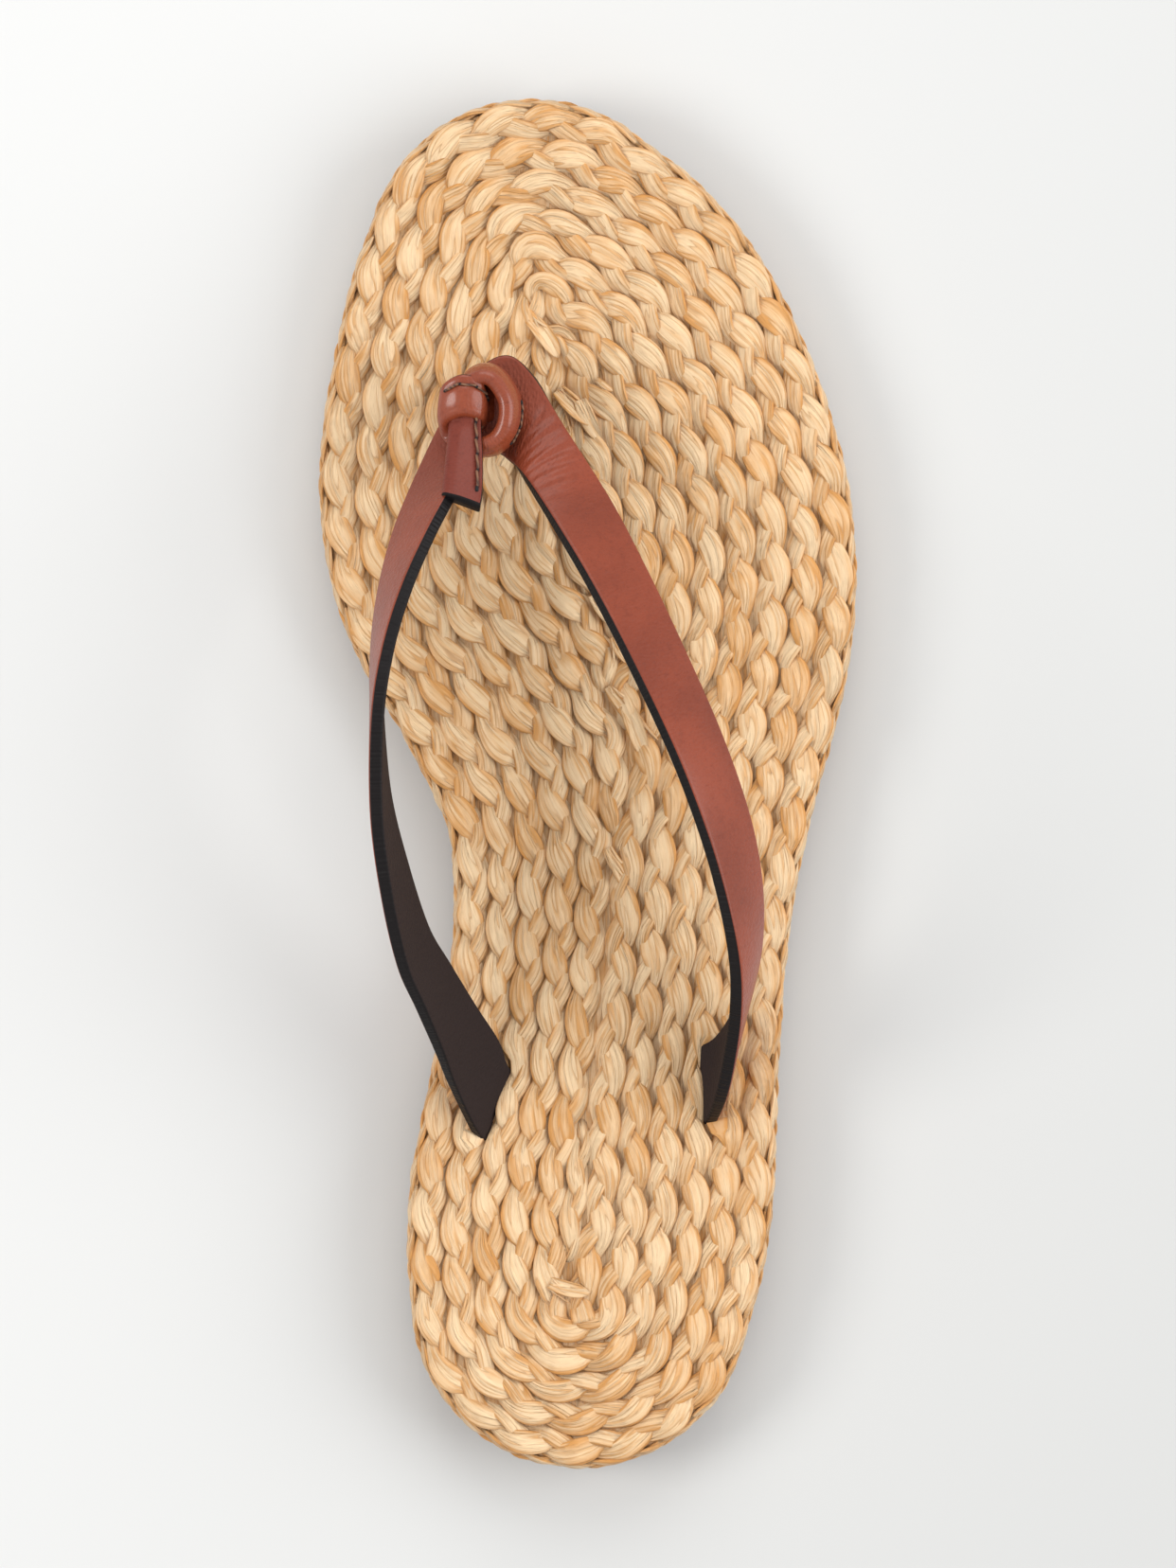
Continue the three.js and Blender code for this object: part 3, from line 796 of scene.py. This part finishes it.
strap = {
    "width": 12.7,
    "thickness": 2.5,
    "rise": 34.0,
    "crown": 0.22,
    "edgeRound": 0.55,
    "steps": 28,
    "creaseReach": 0.80,  # share of the half width at which the creases fade out
    "leather": {"deep": (0.190, 0.036, 0.016), "bright": (0.270, 0.053, 0.023), "dark": (0.12, 0.020, 0.009),
                "roughness": 0.38, "coat": 0.38, "wrinkles": 0.70, "shine": 0.14},
    # millimetres past the apex, slant, depth and breadth of the soft creases across the arms
    "creases": [(8.2, 0.25, 0.16, 0.9), (10.2, 0.35, 0.26, 1.0), (12.0, 0.30, 0.22, 0.8),
                (13.9, 0.26, 0.30, 1.0), (16.0, 0.34, 0.22, 0.9), (18.2, 0.25, 0.18, 1.0),
                (21.3, 0.20, 0.12, 1.2), (-7.5, -0.40, 0.16, 1.2), (-10.2, -0.50, 0.12, 1.3)],
    # middle of the outer face as shares of ball width, sole length and rise, then the vector across
    "rows": [(-0.189, -0.231, 0.000, 0.39, 1.05, 0.00), (-0.219, -0.203, 0.147, 0.63, 0.64, -0.48),
             (-0.255, -0.177, 0.282, 0.47, 0.65, -0.60), (-0.295, -0.147, 0.429, 0.36, 0.62, -0.70),
             (-0.332, -0.118, 0.559, 0.30, 0.55, -0.78), (-0.365, -0.070, 0.750, 0.22, 0.45, -0.87),
             (-0.390, -0.015, 0.912, 0.11, 0.28, -0.95), (-0.396, 0.048, 1.000, -0.02, 0.08, -1.00),
             (-0.388, 0.093, 0.960, -0.19, -0.12, -0.97), (-0.366, 0.137, 0.868, -0.38, -0.16, -0.91),
             (-0.330, 0.180, 0.740, -0.54, -0.09, -0.82), (-0.286, 0.218, 0.600, -0.62, 0.01, -0.66),
             (-0.249, 0.245, 0.510, -0.32, 0.77, -0.48), (-0.207, 0.266, 0.465, -0.16, 1.15, -0.09),
             (-0.161, 0.275, 0.450, 0.12, 1.40, -0.03), (-0.125, 0.265, 0.470, 0.32, 1.25, -0.09),
             (-0.078, 0.240, 0.555, 0.58, 0.71, -0.40), (-0.009, 0.198, 0.700, 0.82, 0.29, -0.49),
             (0.059, 0.150, 0.838, 0.78, 0.23, -0.58), (0.131, 0.093, 0.941, 0.72, 0.24, -0.65),
             (0.205, 0.029, 0.985, 0.66, 0.28, -0.69), (0.259, -0.029, 0.935, 0.60, 0.33, -0.73),
             (0.289, -0.076, 0.832, 0.50, 0.38, -0.78), (0.302, -0.118, 0.691, 0.35, 0.46, -0.82),
             (0.298, -0.152, 0.529, 0.24, 0.55, -0.80), (0.281, -0.184, 0.338, 0.13, 0.64, -0.75),
             (0.258, -0.207, 0.162, -0.01, 0.83, -0.65), (0.234, -0.219, 0.000, -0.09, 1.14, 0.00)],
}
ballTop = float(footbedTop(0.15 * sole["length"]))


def stripSide(kind, thickness, radius, backMark):
    # one side of a strip's section from its face round to its back, as millimetres off the edge,
    # height and mark: a cut side has two rounded corners and paint, a folded side is half a circle
    if kind == "fold":
        turn = np.linspace(0, math.pi, 13)
        r = thickness / 2
        return np.column_stack([r * np.sin(turn) - r, r * np.cos(turn) - r, np.ones(len(turn))])
    turn = np.linspace(0, math.pi / 2, 6)
    upper = np.column_stack([radius * np.sin(turn) - radius, radius * np.cos(turn) - radius,
                             1 - smoothStep(0.30, 0.85, turn / (math.pi / 2))])
    middle = np.column_stack([np.zeros(4), np.linspace(-radius, radius - thickness, 6)[1:-1], np.zeros(4)])
    lower = np.column_stack([radius * np.cos(turn) - radius, radius - thickness - radius * np.sin(turn),
                             backMark * smoothStep(0.25, 0.85, turn / (math.pi / 2))])
    return np.vstack([upper, middle, lower])


def stripSection(thickness, crown, radius, rear="cut", front="cut", backMark=-1):
    # closed section of a strip as (share of half width, millimetres off that, height, mark): the
    # face at height 0, crowned by (1 - share squared), the front side, the back and the rear side
    insets = [thickness / 2 if kind == "fold" else radius for kind in (rear, front)]
    share = np.linspace(-1, 1, 34)[1:-1]
    inward = -share * np.where(share > 0, insets[1], insets[0])
    face = np.column_stack([share, inward, crown * (1 - share**2), np.ones(len(share))])
    ahead = stripSide(front, thickness, radius, backMark)
    ahead = np.column_stack([np.ones(len(ahead)), ahead])
    behind = stripSide(rear, thickness, radius, backMark)[::-1]
    behind = np.column_stack([-np.ones(len(behind)), -behind[:, 0], behind[:, 1:]])
    few = np.linspace(1, -1, 12)[1:-1]
    inward = -few * np.where(few > 0, insets[1], insets[0])
    back = np.column_stack([few, inward, np.full(len(few), -thickness), np.full(len(few), backMark)])
    return np.vstack([face, ahead, back, behind])


def stripFrame(rows, width, steps, turned=0):
    # middle of the face and vector across on smooth curves through the rows; up is the way ahead
    # crossed with the vector across. A strip that is turned by its thickness swaps face and back.
    rows = np.asarray(rows, float)
    smooth = catmullRom(rows, (len(rows) - 1) * steps + 1)
    middle, across = smooth[:, :3], smooth[:, 3:6] * width
    side = unit(across)
    up = unit(np.cross(np.gradient(middle, axis=0), side))
    half = np.linalg.norm(across, axis=1) / 2
    if turned:
        middle, side, up, half = (middle - turned * up)[::-1], side[::-1], -up[::-1], half[::-1]
    return middle, side, up, half


def stripGrid(frame, section, lift=None, paintedEnd=False):
    middle, side, up, half = frame
    along = lengthsAlong(middle)
    offset = section[None, :, 0] * half[:, None] + section[None, :, 1]
    height = np.tile(section[:, 2], (len(middle), 1))
    if lift is not None:
        height = height + lift(along[:, None], offset, half[:, None]) * (section[None, :, 3] > 0)
    points = middle[:, None] + side[:, None] * offset[..., None] + up[:, None] * height[..., None]
    hide = columns(points, along[:, None], offset, section[None, :, 3])
    if paintedEnd:
        hide[..., 2] *= smoothStep(0.25, 0.55, along[-1] - along)[:, None]
    # the section runs clockwise seen from ahead, so it is turned round for faces that point out
    return makeGrid(points[:, ::-1], hide=hide[:, ::-1])


def strapRows():
    rows = np.array(strap["rows"])
    rows[:, 0] *= sole["ballWidth"]
    rows[:, 1] *= sole["length"]
    rows[:, 2] = ballTop + rows[:, 2] * strap["rise"]
    foot = [row.copy() for row in (rows[0], rows[-1])]
    for row in foot:
        row[2] = float(footbedUnder(row[1])) + sole["endsAbove"]
    return np.vstack([foot[0], rows, foot[1]])


def strapLift(along, across, half):
    # soft creases: -depth off exp(-off squared), a trough beside a ridge that crosses the arm
    total = 0
    for place, slant, depth, broad in strap["creases"]:
        off = (along - apexAlong - place - slant * across) / broad
        ends = np.exp(-(across / (strap["creaseReach"] * half))**4)
        total = total - 2 * depth * off * np.exp(-off**2) * ends
    return total


strapFrame = stripFrame(strapRows(), strap["width"], strap["steps"])
apexAlong = lengthsAlong(strapFrame[0])[np.argmax(strapFrame[0][:, 1])]
strapLeather = makeLeather("strap leather", strap["leather"])
strapSection = stripSection(strap["thickness"], strap["crown"], strap["edgeRound"])
strapGrid = stripGrid(strapFrame, strapSection, strapLift)
addPiece(makeMesh("strap_leather", [strapGrid], strapLeather), "strap_leather", "strap")
print("strap", "apex at", round(float(apexAlong), 1))

# Toe thong: post, collar, loop and tail of one folded strip

thong = {
    "width": 7.2,
    "thickness": 3.0,
    "crown": 0.30,
    "edgeRound": 0.55,
    "post": (-0.187, 0.275),
    "baseShare": 0.45,  # height of the strap's apex as a share of its rise
    "steps": 16,
    "leather": {"deep": (0.215, 0.039, 0.015), "bright": (0.290, 0.058, 0.021), "dark": (0.12, 0.021, 0.009),
                "roughness": 0.34, "coat": 0.70, "wrinkles": 0.12, "shine": 0.16},
    # the tail's leather is the thong's leather made darker: painted shade on the tail
    "shadedTailLeather": {"deep": (0.150, 0.028, 0.018), "bright": (0.200, 0.040, 0.024),
                    "dark": (0.09, 0.016, 0.010),
                    "roughness": 0.45, "coat": 0.22, "wrinkles": 0.10, "shine": 0.12},
    "folds": {"collar": ("fold", "cut"), "loop": ("cut", "fold"), "tail": ("fold", "cut")},
    # side that a seam follows, how far in from it, where it starts and ends, and its stitches
    "seams": {"collar": {"side": 1, "in": -1.75, "start": 8.2, "end": 18.6, "pitch": 3.1, "height": 0.26},
              "loop": {"side": -1, "in": 1.5, "start": 5.6, "end": 12.8, "pitch": 2.9, "height": 0.26},
              "tail": {"side": 1, "in": -1.0, "start": 3.0, "end": 18.9, "pitch": 3.15, "height": 0.24}},
    # places from the post at the height of the apex, then the vector across, in thong widths
    "collar": [(-0.92, -0.72, 0.36, 0.05, 0.84, 0.10), (-1.18, -0.42, 0.62, 0.00, 0.92, 0.12),
               (-1.10, -0.05, 0.98, 0.00, 1.00, 0.06), (-0.62, 0.16, 1.22, 0.00, 1.06, 0.00),
               (-0.12, 0.05, 1.06, 0.00, 1.02, 0.06), (0.03, -0.18, 0.66, 0.00, 0.94, 0.10),
               (0.00, -0.32, 0.22, 0.00, 0.86, 0.10)],
    "loop": [(-0.34, 0.10, 0.62, 0.05, -0.30, 0.74), (-0.20, 0.44, 0.68, -0.08, -0.30, 0.86),
             (0.03, 0.50, 0.70, -0.16, -0.24, 0.92), (0.24, 0.29, 0.70, -0.24, -0.14, 0.94),
             (0.40, -0.08, 0.70, -0.27, 0.00, 0.94), (0.36, -0.52, 0.70, -0.24, 0.12, 0.90),
             (0.14, -0.84, 0.66, -0.12, 0.22, 0.74), (-0.20, -0.94, 0.66, 0.00, 0.22, 0.50)],
    "tail": [(-0.55, 0.32, 0.80, 0.80, 0.00, 0.00), (-0.53, -0.24, 0.92, 0.82, 0.00, 0.00),
             (-0.54, -0.72, 1.02, 0.86, 0.02, 0.00), (-0.55, -1.28, 1.26, 0.94, 0.00, 0.00),
             (-0.57, -1.83, 1.50, 1.00, -0.02, 0.00), (-0.59, -2.22, 1.66, 1.00, -0.16, 0.04),
             (-0.62, -2.46, 1.76, 0.96, -0.36, 0.10)],
}
apexHeight = ballTop + thong["baseShare"] * strap["rise"]
postPlace = np.array([thong["post"][0] * sole["ballWidth"], thong["post"][1] * sole["length"], apexHeight])


def knotRows(name):
    rows = np.array(thong[name])
    rows[:, :3] = rows[:, :3] * thong["width"] + postPlace
    return rows


stitch = {
    "radius": 0.25,
    "gap": 0.35,  # from a hole to the end of a thread
    "slant": (-0.10, 0.12),
    # the holes are near-black beads below the threads: painted shade in the stitch holes
    "holeRadius": 0.27,
    "holeHalf": 0.12,  # half length of a hole, and how far it lies below the threads
    "holeSink": 0.16,
    "lastHole": (-0.2, 0.3),
    "lastRadius": 0.34,
    "grooveDepth": 0.22,
    "grooveBroad": 0.55,
    "rings": 9,
    "sides": 10,
}


def groove(seam):
    # the leather sinks a little along a seam: -depth exp(-(off / broad) squared), from start to end
    def lift(along, across, half):
        off = across - (seam["side"] * half + seam["in"])
        window = smoothStep(seam["start"] - 0.6, seam["start"] + 0.4, along)
        window = window * (1 - smoothStep(seam["end"] - 0.4, seam["end"] + 0.6, along))
        return -stitch["grooveDepth"] * np.exp(-(off / stitch["grooveBroad"])**2) * window
    return lift


def bead(first, last, radius):
    # capsule from first to last: rings whose radius follows half a circle at both ends
    first, last = np.array(first, float), np.array(last, float)
    way = unit(last - first)
    other = unit(np.cross(way, [0.3, 0.2, 0.93]))
    third = np.cross(way, other)
    turn = np.linspace(0, math.pi, stitch["rings"])[1:-1]
    place = np.concatenate([-radius * np.cos(turn[turn < math.pi / 2]), [0.0, np.linalg.norm(last - first)],
                            np.linalg.norm(last - first) - radius * np.cos(turn[turn > math.pi / 2])])
    size = np.concatenate([radius * np.sin(turn[turn < math.pi / 2]), [radius, radius],
                           radius * np.sin(turn[turn > math.pi / 2])])
    angle = np.linspace(0, 2 * math.pi, stitch["sides"], endpoint=False)
    circle = np.cos(angle)[:, None] * other + np.sin(angle)[:, None] * third
    return first + place[:, None, None] * way + size[:, None, None] * circle


def seamBeads(frame, seam):
    # stitches along a seam of a strip, and a near-black bead between two stitches and after the last one:
    # painted shade in the stitch holes
    middle, side, up, half = frame
    along = lengthsAlong(middle)
    line = middle + side * (seam["side"] * half + seam["in"])[:, None]
    high = seam["height"]
    low = high - stitch["holeSink"]
    gap, reach = stitch["gap"], stitch["holeHalf"]

    def at(distance, lateral, height):
        spot = np.array([np.interp(distance, along, line[:, k]) for k in range(3)])
        nearest = int(np.argmin(np.abs(along - distance)))
        return spot + side[nearest] * lateral + up[nearest] * height

    threads, holeShades = [], []
    for start in np.arange(seam["start"], seam["end"] - 1.0, seam["pitch"]):
        stop = min(start + seam["pitch"], seam["end"])
        ends = [at(start + gap, stitch["slant"][0], high), at(stop - gap, stitch["slant"][1], high)]
        threads.append(bead(*ends, stitch["radius"]))
        holeShades.append(bead(at(start - reach, 0, low), at(start + reach, 0, low), stitch["holeRadius"]))
    last = [at(seam["end"] + off, 0, low) for off in stitch["lastHole"]]
    holeShades.append(bead(*last, stitch["lastRadius"]))
    return threads, holeShades


def beadGrids(beads, mark):
    return [makeGrid(points, hide=columns(points, 0.0, 0.0, mark)) for points in beads]


def makeThread():
    material, wire, shader = newMaterial("thread")
    place = objectPlace(wire)
    twist = wire.node("ShaderNodeTexWave", {"bands_direction": "DIAGONAL"},
                      {"Vector": place, "Scale": 420.0, "Distortion": 1.5}, 1)
    colour = wire.blend((0.060, 0.022, 0.011), (0.21, 0.095, 0.046), twist)
    connect(shader, {"Base Color": colour, "Roughness": 0.6, "Normal": wire.bump(twist, 0.0001, 0.7)})
    return material


def makeHoleShade():
    # near-black: painted shade standing in for the depth of a stitch hole
    material, wire, shader = newMaterial("stitch hole painted shade")
    connect(shader, {"Base Color": (0.006, 0.004, 0.004, 1), "Roughness": 0.8})
    return material


thongLeather = makeLeather("thong leather", thong["leather"])
shadedTailLeather = makeLeather("tail leather in painted shade", thong["shadedTailLeather"])
threadMaterial = makeThread()
holeShadeMaterial = makeHoleShade()
stitches, stitchHoleShades = [], []
for part in ("collar", "loop", "tail"):
    seam = thong["seams"][part]
    section = stripSection(thong["thickness"], thong["crown"], thong["edgeRound"], *thong["folds"][part], 1)
    strip = stripFrame(knotRows(part), thong["width"], thong["steps"], thong["thickness"] * (part == "loop"))
    grid = stripGrid(strip, section, groove(seam), part == "tail")
    # the tail takes the darker copy of the leather, painted shade
    material = shadedTailLeather if part == "tail" else thongLeather
    addPiece(makeMesh("thong_" + part, [grid], material), "thong_leather", "toe_thong")
    threads, holeShades = seamBeads(strip, seam)
    stitches += threads
    stitchHoleShades += holeShades
    print(part, "length", round(float(lengthsAlong(strip[0])[-1]), 1))
addPiece(makeMesh("thong_stitches", beadGrids(stitches, 1.0), threadMaterial), "thong_leather")
addPiece(makeMesh("thong_stitch_hole_shades", beadGrids(stitchHoleShades, 0.0), holeShadeMaterial), "thong_leather")
postRows = [(postPlace[0] - thong["thickness"] / 2, postPlace[1], z, 0, 1, 0)
            for z in (float(footbedUnder(postPlace[1])) + sole["endsAbove"], apexHeight,
                      apexHeight + thong["thickness"])]
postStrip = stripFrame(postRows, thong["width"], 10)
grid = stripGrid(postStrip, stripSection(thong["thickness"], 0.2, 0.5, "fold", "cut", 1))
addPiece(makeMesh("thong_post", [grid], thongLeather), "thong_leather", "toe_thong")
print("toe thong")

# Floor, light and camera. The photograph looks straight down on the shoe: the camera's height and
# lens give 0.174 mm to one of its pixels at the footbed.

view = {
    "height": 1.663,
    "mmPerPixel": 0.17415,
    "pixelsWide": 1242,
    "focusHeight": 0.013,
}


# the floor's half side and its two colours, the darker one painted shade, and every lamp's place, diameter,
# power and colour
studio = {
    "floorHalf": 3.0,
    "floorLight": (0.70, 0.70, 0.685),
    "floorPaintedShade": (0.545, 0.545, 0.53),
    "aim": (0, 0, 0),
    "lamps": {"window": ((0.1, 2.2, 1.6), 2.2, 27.5, (1.0, 0.99, 0.97)),
              "left lamp": ((-1.35, -0.05, 1.15), 0.8, 12.5, (1.0, 0.985, 0.96)),
              "right fill": ((1.5, 0.0, 0.85), 1.7, 22.0, (0.98, 0.99, 1.0))},
    "world": (0.96, 0.97, 1.0, 1),
    "worldStrength": 0.68,
}


def makeFloor():
    half = studio["floorHalf"]
    corners = [(-half, -half, 0), (half, -half, 0), (half, half, 0), (-half, half, 0)]
    mesh = bpy.data.meshes.new("floor")
    mesh.from_pydata(corners, [], [(0, 1, 2, 3)])
    floor = addObject("floor", mesh)
    material, wire, shader = newMaterial("floor")
    place = objectPlace(wire)
    x, y = axisOf(wire, place, 0), axisOf(wire, place, 1)
    # painted shade: the floor's colour darkens toward the lower right, standing in for light that falls off
    # there
    fade = (x * 0.9 - y * 0.35).rise(-0.16, 0.26)  # a little darker to the lower right
    colour = wire.blend(studio["floorLight"], studio["floorPaintedShade"], fade)
    connect(shader, {"Base Color": colour, "Roughness": 0.9})
    mesh.materials.append(material)


def addArea(name, place, size, power, colour):
    light = bpy.data.lights.new(name, "AREA")
    light.shape = "DISK"
    light.size = size
    light.energy = power
    light.color = colour
    lamp = addObject(name, light)
    lamp.location = place
    way = np.array(studio["aim"], float) - np.array(place, float)
    flat = math.hypot(way[0], way[1])
    lamp.rotation_euler = (math.atan2(flat, -way[2]), 0, math.atan2(way[1], way[0]) - math.pi / 2)


def addCamera():
    camera = bpy.data.cameras.new("camera")
    camera.sensor_fit = "HORIZONTAL"
    camera.sensor_width = 36.0
    wide = view["pixelsWide"] * view["mmPerPixel"] * metre
    camera.lens = camera.sensor_width * (view["height"] - view["focusHeight"]) / wide
    camera.clip_end = 20.0
    holder = addObject("camera", camera)
    holder.location = (0, 0, view["height"])
    bpy.context.scene.camera = holder


makeFloor()
for name, settings in studio["lamps"].items():
    addArea(name, *settings)
world = bpy.data.worlds.new("studio")
world.use_nodes = True
world.node_tree.nodes["Background"].inputs["Color"].default_value = studio["world"]
world.node_tree.nodes["Background"].inputs["Strength"].default_value = studio["worldStrength"]
bpy.context.scene.world = world
bpy.context.scene.view_settings.view_transform = "Standard"
addCamera()
print("floor, light and camera")
